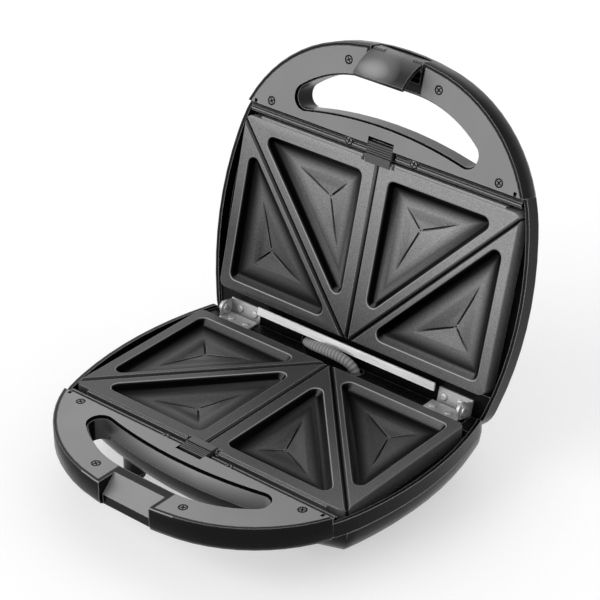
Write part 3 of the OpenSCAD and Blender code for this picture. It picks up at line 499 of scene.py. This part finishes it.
pale = Finish("pale_ceramic", tone(210, 0.05), 0.6, edge=0.2)
bisque = pale.noise(0.7, 4.0)
pale.feed("Base Color", pale.blend(bisque, tone(196, 0.07), tone(222, 0.04)))
pale.feed("Roughness", bisque * 0.2 + 0.5)
pale.bump(bisque, 0.04, 0.5)

# %% Clips and lamps
clip_black = Finish("clip_black", tone(52), 0.35, edge=0.25)
wipe = clip_black.noise(0.8, 3.0, stretch=(0.3, 2.0, 1.0))
clip_black.feed("Base Color", clip_black.blend(wipe, tone(40), tone(66)))
clip_black.feed("Roughness", wipe * 0.25 + 0.28)
clip_black.bump(wipe, 0.04, 0.4)

lens = Finish("lamp_lens", (0.5, 0.03, 0.02, 1.0), 0.12, edge=0.3, Coat_Weight=0.5)
depth = lens.noise(0.5, 2.0)
lens.feed("Base Color", lens.blend(depth, (0.38, 0.02, 0.015, 1.0), (0.6, 0.05, 0.03, 1.0)))
lens.feed("Roughness", depth * 0.1 + 0.08)
lens.bump(depth, 0.02, 0.2)

# %% [markdown]
# ## Cooking plates
#
# Each plate is one aluminium casting with four triangular pockets, coated dark. A pocket's wall leans in from
# a soft rim, then three shallow faces run down to one point, and a fine fold shows where two faces meet.
# Sculpting would never keep the folds straight. Instead the solid's own pockets are opened at the rim and
# pressed again: each pocket starts as one flat face, and a row of insets, each a little further in and
# down, draws the wall as a press tool would. Insetting a triangle makes the folds by itself, because the
# corners travel along the lines halfway between the sides. Two cuts beside each fold then let its middle
# sink as a fine groove.

# %% Steps of the press
FACE_LEVEL = -0.5
# The third number of each step is the painted shade on the coating there.
RIM_STEPS = [  # inward and down in millimetres, and how dark the coating is
    (0.3, 0.1, 0.3), (0.5, 0.5, 0.85), (0.7, 0.9, 1.0),
    (0.9, 1.05, 1.0), (1.1, 1.05, 1.0), (1.2, 0.8, 0.95),
]
FOOT_STEPS = [
    (1.3, 0.55, 0.95), (1.5, 0.35, 0.84), (1.6, 0.22, 0.66),
    (1.7, 0.16, 0.4), (1.8, 0.1, 0.16), (1.8, 0.06, 0.04),
]
RIM_GLINT = 0.8
LIT_FROM = 0.82
LIT_SHARE = 0.75
FLOOR_DROP = 0.42
FLOOR_RINGS = 3
FOLD_HALF = 0.85
FOLD_DEPTH = 0.7
FOLD_FADE = 9.0
FLOOR_REACH = 6.0
POCKET_TOP, POCKET_REAR, POCKET_DEEP = -1.0, -15.0, -3.3
GROOVE_LOW, GROOVE_HIGH = -2.8, FACE_LEVEL - 2.0
UPWARD = 0.9


# %% Rings of a pocket wall
def nearest_floor(piece, spot):
    """The flat floor that is left of a pocket: the largest upward face around that spot."""
    close = [f for f in piece.faces
             if f.normal.z > UPWARD and (f.calc_center_median().xy - spot.xy).length < FLOOR_REACH]
    return max(close, key=lambda f: f.calc_area())


def inset_down(piece, face, inward, down, shade, layer):
    """One ring of the wall: insets the floor, sinks it and notes how much painted shade darkens the coating
    there.
    """
    bmesh.ops.inset_region(piece, faces=[face], thickness=inward, depth=-down,
                           use_even_offset=True, use_boundary=True)
    for vert in face.verts:
        vert[layer] = shade


def square_corners(piece, face):
    """Draws each round corner of a floor together to the point where its two sides meet."""
    corners = list(face.verts)
    count = len(corners)
    sides = sorted(range(count), key=lambda i: (corners[i].co - corners[(i + 1) % count].co).length)[-3:]
    lines = [(corners[i].co.copy(), corners[(i + 1) % count].co.copy()) for i in sorted(sides)]
    starts = [(i + 1) % count for i in sorted(sides)]
    for number in range(3):
        meeting = intersect_line_line(*lines[number], *lines[(number + 1) % 3])[0]
        span = (starts[(number + 1) % 3] - starts[number]) % count
        group = [corners[(starts[number] + step) % count] for step in range(span)]
        bmesh.ops.pointmerge(piece, verts=group, merge_co=meeting)


# %% One pocket
def press_pocket(piece, face, shade, glint):
    """Presses one pocket. Gives the rings of corners that its folds run through, and its low point."""
    for number, (inward, down, dark) in enumerate(RIM_STEPS):
        inset_down(piece, face, inward, down, dark, shade)
        for vert in face.verts:
            vert[glint] = RIM_GLINT if number == 0 else 0.0
    spot = face.calc_center_median()
    square_corners(piece, face)
    face = nearest_floor(piece, spot)
    for inward, down, dark in FOOT_STEPS:
        inset_down(piece, face, inward, down, dark, shade)
    rings = [[v.co.copy() for v in face.verts]]
    reach = 2 * face.calc_area() / face.calc_perimeter()
    for _ in range(FLOOR_RINGS):
        inset_down(piece, face, reach / (FLOOR_RINGS + 0.3), FLOOR_DROP, 0.0, shade)
        rings.append([v.co.copy() for v in face.verts])
    low = bmesh.ops.poke(piece, faces=[face], offset=-FLOOR_DROP * 0.3)["verts"][0]
    return rings, low.co.copy()


# %% Folds
def cut_folds(piece, untouched, rings, low, fold):
    """Scores a groove from each corner of the floor to its low point."""
    for start in rings[0]:
        along = (start - low).xy.normalized()
        across = Vector((-along.y, along.x, 0.0))
        for side in (-FOLD_HALF, FOLD_HALF):
            faces = [f for f in piece.faces if f not in untouched and f.normal.z > 0.5
                     and f.calc_center_median().z < rings[0][0].z + 0.02
                     and (f.calc_center_median() - low).xy.dot(along) > -4.0]
            parts = faces + list({e for f in faces for e in f.edges})
            parts += list({v for f in faces for v in f.verts})
            bmesh.ops.bisect_plane(piece, geom=parts, dist=0.0001,
                                   plane_co=low + across * side, plane_no=across)
    spots = [spot for ring in rings for spot in ring] + [low]
    for vert in piece.verts:
        if any((vert.co.xy - spot.xy).length < 0.02 for spot in spots) and vert.co.z > low.z - 0.1:
            edge = min((vert.co.xy - start.xy).length for start in rings[0])
            # The fold number sinks the groove and paints shade into it.
            vert[fold] = min(1.0, edge / FOLD_FADE) ** 0.5
            vert.co.z -= FOLD_DEPTH * vert[fold]


# %% Both plates
def pocket_faces(piece):
    """The faces inside the pockets of a solid plate."""
    return [f for f in piece.faces
            if f.normal.z > 0.05 and f.calc_center_median().z < POCKET_TOP
            and f.calc_center_median().y < POCKET_REAR and min(v.co.z for v in f.verts) < POCKET_DEEP]


def pressed_plate(node, place, body):
    piece = flat_copy(node, place)
    bmesh.ops.delete(piece, geom=pocket_faces(piece), context="FACES")
    rims = [e for e in piece.edges if e.is_boundary]
    floors = bmesh.ops.holes_fill(piece, edges=rims, sides=0)["faces"]
    shade = piece.verts.layers.float.new("shade")
    glint = piece.verts.layers.float.new("glint")
    fold = piece.verts.layers.float.new("fold")
    for face in floors:
        untouched = set(piece.faces) - {face}
        rings, low = press_pocket(piece, face, shade, glint)
        cut_folds(piece, untouched, rings, low, fold)
    piece.normal_update()
    # Walls that face the handle keep less painted shade, as if lit from there.
    for vert in piece.verts:
        lean = vert.normal.xy
        if vert[shade] > 0.0 and lean.length > 0.05:
            facing = (-lean.y / lean.length - LIT_FROM) / (1.0 - LIT_FROM)
            vert[shade] *= 1.0 - LIT_SHARE * min(1.0, max(0.0, facing))
    # The V grooves take the same painted shade as the folds.
    for vert in piece.verts:
        if GROOVE_LOW < vert.co.z < GROOVE_HIGH and vert[shade] == 0.0:
            vert[fold] = 1.0
    rim = [e for e in piece.edges if len(e.link_faces) == 2
           and max(f.normal.z for f in e.link_faces) > 0.95 and min(f.normal.z for f in e.link_faces) < 0.2
           and min(v.co.z for v in e.verts) > FACE_LEVEL - 0.02]
    bmesh.ops.bevel(piece, geom=rim, offset=0.8, segments=3, profile=0.5, affect="EDGES", material=-1)
    return set_down(node + "_coated", piece, place, body, [coating], 30.0, [node])


pressed_plate("base_plate", BASE, "base")
pressed_plate("lid_plate", LID, "lid")

# %% [markdown]
# ## Mouldings and sheet parts
#
# The housing halves, brackets, clips and feet already have their right form as solids. They are copied, their
# loose triangles merged into whole faces, and shaded smooth up to an angle that keeps real corners crisp.
# Large flat faces stay flat, so that no false gradient runs over them. Remodelling them would only risk
# leaving the box of the solid.

# %% Smoothing helpers
def smoothed(node, place, body, finish, sharp=35.0):
    return set_down(node + "_finished", flat_copy(node, place), place, body, [finish], sharp, [node])


def top_rim(piece, level):
    """The edges round upward faces at that level."""
    return [e for e in piece.edges if len(e.link_faces) == 2
            and max(f.normal.z for f in e.link_faces) > 0.95 and min(f.normal.z for f in e.link_faces) < 0.3
            and all(abs(v.co.z - level) < 0.02 for v in e.verts)]


def round_over(piece, edges, radius, segments=2):
    return bmesh.ops.bevel(piece, geom=edges, offset=radius, segments=segments, profile=0.5,
                           affect="EDGES", material=-1, clamp_overlap=True)["faces"]


# %% Smoothed copies
smoothed("base_pan", BASE, "base", black, 50.0)
smoothed("lid_dome", LID, "lid", black, 50.0)
smoothed("latch", LID, "latch", glossy, 40.0)
smoothed("cord_gland", BASE, "base", rubber)
smoothed("feet", BASE, "base", rubber)
smoothed("base_brackets", BASE, "base", plated)
smoothed("lid_brackets", LID, "lid", plated)
smoothed("hinge_pins", BASE, "base", plated)
smoothed("lid_strip", LID, "lid", rolled)
smoothed("base_reflector", BASE, "base", rolled)
smoothed("lid_reflector", LID, "lid", rolled)
smoothed("base_clip", BASE, "base_clip", clip_black)
smoothed("lid_clip", LID, "lid_clip", clip_black)
smoothed("base_heater", BASE, "base", element)
smoothed("lid_heater", LID, "lid", element)
for node in ("thermostat", "terminal_block", "thermal_fuse"):
    smoothed(node, BASE, "base", pale)
smoothed("base_wires", BASE, "base", pale, 60.0)
smoothed("lamp_board", LID, "lid", pale)
smoothed("lamps", LID, "lid", lens)
smoothed("pan_screws", BASE, "base", screw_steel)
for node in ("dome_screws", "latch_pin", "latch_spring"):
    smoothed(node, LID, "lid", screw_steel)


# %% [markdown]
# ## Base and lid mouldings
#
# Both mouldings have two rounded beads along the rail, which the reference picture shows as pale lines, so
# they are painted pale as a painted highlight. In the base, the ramp that the latch rides down is painted
# grey as the panel, as painted light on the black moulding. The wall behind the grip shows a broad band of
# light there, which is painted as a fade in its colour. These areas are picked by where their faces lie and
# which way they lean, so the shape itself stays as it is.

# %% Marked areas of the mouldings
BEAD_FRONT = -136.5
BEAD_REAR = -124.0
BEAD_LOW = -3.15
BEAD_HIGH = -2.25
RAMP_HALF = 36.0
RAMP_FRONT = -188.0
WALL_HALF = 78.0
WALL_FRONT = -164.0
WALL_REAR = -138.0
WALL_RISE = 16.0
WALL_DARK_AT = 1.7

# Painted light: the band of light on the wall behind the grip, brighter higher up and towards the middle.
sheen = Finish("lit_moulding", tone(110), 0.35, edge=0.4, Specular_IOR_Level=0.4)
swirl = sheen.noise(0.4, 3.0)
rise = sheen.ramp(sheen.axis(Z_AXIS) * (1.0 / WALL_RISE) - WALL_DARK_AT, (0.0, 0.0), (1.0, 1.0))
sweep = sheen.ramp(sheen.axis(X_AXIS) * 0.007 + 0.5,
                   (0.0, 0.1), (0.35, 0.7), (0.6, 1.0), (0.95, 0.45))
sheen.feed("Base Color", sheen.blend(rise * sweep, tone(26), tone(176)))
sheen.feed("Roughness", swirl * 0.1 + 0.3)
sheen.bump(swirl, 0.02, 0.3)


# Painted highlight: the pale rail beads.
bead_highlight = Finish("bead_highlight", tone(128), 0.35, edge=0.0)
rub = bead_highlight.noise(0.3, 3.0)
bead_highlight.feed("Base Color", bead_highlight.blend(rub, tone(112), tone(150)))
bead_highlight.feed("Roughness", rub * 0.2 + 0.25)
bead_highlight.bump(rub, 0.01, 0.3)


# %% Mouldings
def finished_shell(node, place, body, lit):
    """A moulding with a painted highlight on its rail beads and, in the base, painted light: the grey ramp
    and the band of light on the wall behind the grip.
    """
    piece = flat_copy(node, place)
    for face in piece.faces:
        spot, lean = face.calc_center_median(), face.normal
        # The ramp takes the grey panel paint as painted light, the grip wall the painted band of light, the
        # beads the painted highlight.
        ramp = lit and abs(spot.x) < RAMP_HALF and spot.y < RAMP_FRONT and 0.3 < lean.z < 0.95
        wall = (lit and abs(spot.x) < WALL_HALF and WALL_FRONT < spot.y < WALL_REAR
                and lean.y < -0.3 and abs(lean.z) < 0.3)
        bead = BEAD_FRONT < spot.y < BEAD_REAR and BEAD_LOW < spot.z < BEAD_HIGH and lean.z > 0.1
        face.material_index = 1 if ramp else 2 if wall else 3 if bead else 0
    paints = [black, satin, sheen, bead_highlight]
    return set_down(node + "_finished", piece, place, body, paints, 50.0, [node])


finished_shell("base_shell", BASE, "base", True)
finished_shell("lid_shell", LID, "lid", False)

# %% [markdown]
# ## Panels, screws and rivets
#
# A handle panel is a lacquered plate let into the moulding, with a thin dark line of shade all round where
# the two meet. Rounding its upper edge and painting the rounding and the cut sides dark, as painted shade,
# draws that line round the outline, the grip opening and the wells. A screw could be dressed with a texture,
# but a thin dark cone ring on each head is a painted shadow round it at any distance, and its cross and rim
# are painted dark as shade. Rivets are domed over with a bevel of four steps.

# %% Panels
PANEL_ROUNDING = 0.55


def finished_panel(node, place, body):
    """The panel with softened edges; its rounded edges, cut sides and screw wells are painted dark as shade.
    """
    piece = flat_copy(node, place)
    round_over(piece, top_rim(piece, 0.0), PANEL_ROUNDING, 1)
    for face in piece.faces:
        # Every face that is not the flat top takes the painted shade.
        face.material_index = int(face.normal.z < 0.98)
    return set_down(node + "_finished", piece, place, body, [satin, shade_paint], 40.0, [node])


finished_panel("base_panel", BASE, "base")
finished_panel("lid_panel", LID, "lid")


# %% Screws
RING_SHARE = 0.72
RING_RISE = 0.1
RING_SIDES = 48
PANEL_HEAD, RAIL_HEAD = 2.9, 3.0
PANEL_HEAD_LEVEL, RAIL_HEAD_LEVEL = -0.05, -2.25


def finished_screws(node, place, body, level, head):
    """Screws with a painted shadow ring on each head and a cross and rim painted dark as shade."""
    piece = flat_copy(node, place)
    low = min(v.co.z for v in piece.verts)
    ends = [f.calc_center_median().xy for f in piece.faces if f.calc_center_median().z < low + 0.01]
    # The head's rim, its cross and the shank are painted near black as shade.
    for face in piece.faces:
        face.material_index = int(face.normal.z < 0.985 or face.calc_center_median().z < level - 0.3)
    # A flat dark cone ring on the rim of each head is a painted shadow.
    for end in ends:
        ring = bmesh.ops.create_cone(piece, cap_ends=False, segments=RING_SIDES, radius1=head,
                                     radius2=head * RING_SHARE, depth=RING_RISE)["verts"]
        bmesh.ops.translate(piece, verts=ring, vec=(end.x, end.y, level + RING_RISE * 0.4))
        for face in {f for v in ring for f in v.link_faces}:
            face.material_index = 1
    paints = [screw_steel, shade_paint]
    return set_down(node + "_finished", piece, place, body, paints, 35.0, [node])


finished_screws("base_panel_screws", BASE, "base", PANEL_HEAD_LEVEL, PANEL_HEAD)
finished_screws("lid_panel_screws", LID, "lid", PANEL_HEAD_LEVEL, PANEL_HEAD)
finished_screws("base_rail_screws", BASE, "base", RAIL_HEAD_LEVEL, RAIL_HEAD)
finished_screws("lid_rail_screws", LID, "lid", RAIL_HEAD_LEVEL, RAIL_HEAD)


# %% Rivets
def finished_rivets(node, place, body):
    piece = flat_copy(node, place)
    level = max(v.co.z for v in piece.verts)
    round_over(piece, top_rim(piece, level), 0.9, 4)
    return set_down(node + "_finished", piece, place, body, [plated], 60.0, [node])


finished_rivets("base_rivets", BASE, "base")
finished_rivets("lid_rivets", LID, "lid")

# %% [markdown]
# ## Lead sleeve
#
# The lead to the lid's element runs in a woven glass sleeve that arches over the hinge. A cloth could be
# simulated, but a woven tube is stiff and hardly sags. So a ring of points is extruded along a curve that the
# route's points steer, flattened to an oval, and raised where a strand crosses over and sunk where it dives.
# The points at the lid end are given in the lid's frame and carried over, and the sleeve is set down on no
# body, though its ends ride on different bodies.

# %% Sleeve finish
braid = Finish("glass_braid", tone(170), 0.75, edge=0.0)
strand = braid.mark("strand")
fuzz = braid.noise(3.0, 3.0)
# The strand number paints shade: darker where a strand dives under another, pale where it crosses over.
braid.feed("Base Color", braid.blend(strand, tone(50), tone(165)))
braid.feed("Roughness", fuzz * 0.2 + 0.6)
braid.bump(fuzz, 0.1, 0.6)

# %% Sleeve route
SLEEVE_POINTS = [
    (14, -1, -13.5), (14, -1, -8), (15, -1, -4), (13, -1.2, 3), (-4, -2.6, 2.4), (-22, -0.4, 0),
    (-34, 2.2, 3.2), (-33, 2.2, -5), (-33, 2.2, -13.5),
]
SLEEVE_BASE_POINTS = 6
SLEEVE_WIDE = 3.5
SLEEVE_THIN = 2.5
SLEEVE_SIDES = 32
SLEEVE_RINGS = 150
STRAND_LENGTH = 2.6
STRAND_RELIEF = 0.16


def steered(points, share):
    """The point at that share of the curve that the points steer."""
    while len(points) > 1:
        points = [a.lerp(b, share) for a, b in zip(points, points[1:])]
    return points[0]


# %% Weaving the sleeve
def braided_sleeve():
    """A tube along the lead's route, raised where a strand crosses over and sunk where it dives."""
    lid_to_base = BASE.inverted() @ LID
    steer = [Vector(spot) for spot in SLEEVE_POINTS]
    steer[SLEEVE_BASE_POINTS:] = [lid_to_base @ spot for spot in steer[SLEEVE_BASE_POINTS:]]
    path = [steered(steer, number / SLEEVE_RINGS) for number in range(SLEEVE_RINGS + 1)]
    piece = bmesh.new()
    strand = piece.verts.layers.float.new("strand")
    start = bmesh.ops.create_circle(piece, segments=SLEEVE_SIDES, radius=1.0)["verts"]
    rings = [start]
    edges = list({edge for vert in start for edge in vert.link_edges})
    for _ in range(SLEEVE_RINGS):
        made = bmesh.ops.extrude_edge_only(piece, edges=edges)["geom"]
        rings.append([part for part in made if isinstance(part, bmesh.types.BMVert)])
        edges = [part for part in made if isinstance(part, bmesh.types.BMEdge)
                 and part.verts[0] in rings[-1] and part.verts[1] in rings[-1]]
    travelled = 0.0
    for number, ring in enumerate(rings):
        before, after = path[max(number - 1, 0)], path[min(number + 1, SLEEVE_RINGS)]
        travelled += (path[number] - before).length
        ahead = (after - before).normalized()
        thin = ahead.cross(Vector((0.9, 0.1, 0.3))).normalized()
        wide = ahead.cross(thin)
        for vert in ring:
            angle = math.atan2(vert.co.y, vert.co.x)
            over = 0.5 * (math.cos(travelled * math.tau / STRAND_LENGTH) - math.cos(angle * SLEEVE_SIDES / 2))
            # The same number later paints the shade where a strand dives.
            vert[strand] = 0.5 + 0.5 * over
            raised = STRAND_RELIEF * over
            vert.co = (path[number] + thin * (SLEEVE_THIN + raised) * math.cos(angle)
                       + wide * (SLEEVE_WIDE + raised) * math.sin(angle))
    bmesh.ops.holes_fill(piece, edges=[edge for edge in piece.edges if edge.is_boundary], sides=0)
    bmesh.ops.recalc_face_normals(piece, faces=piece.faces)
    return piece


# %% Sleeve
sleeve = set_down("sleeve_braid", braided_sleeve(), BASE, None, [braid], 80.0, ["sleeve"])
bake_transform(sleeve)
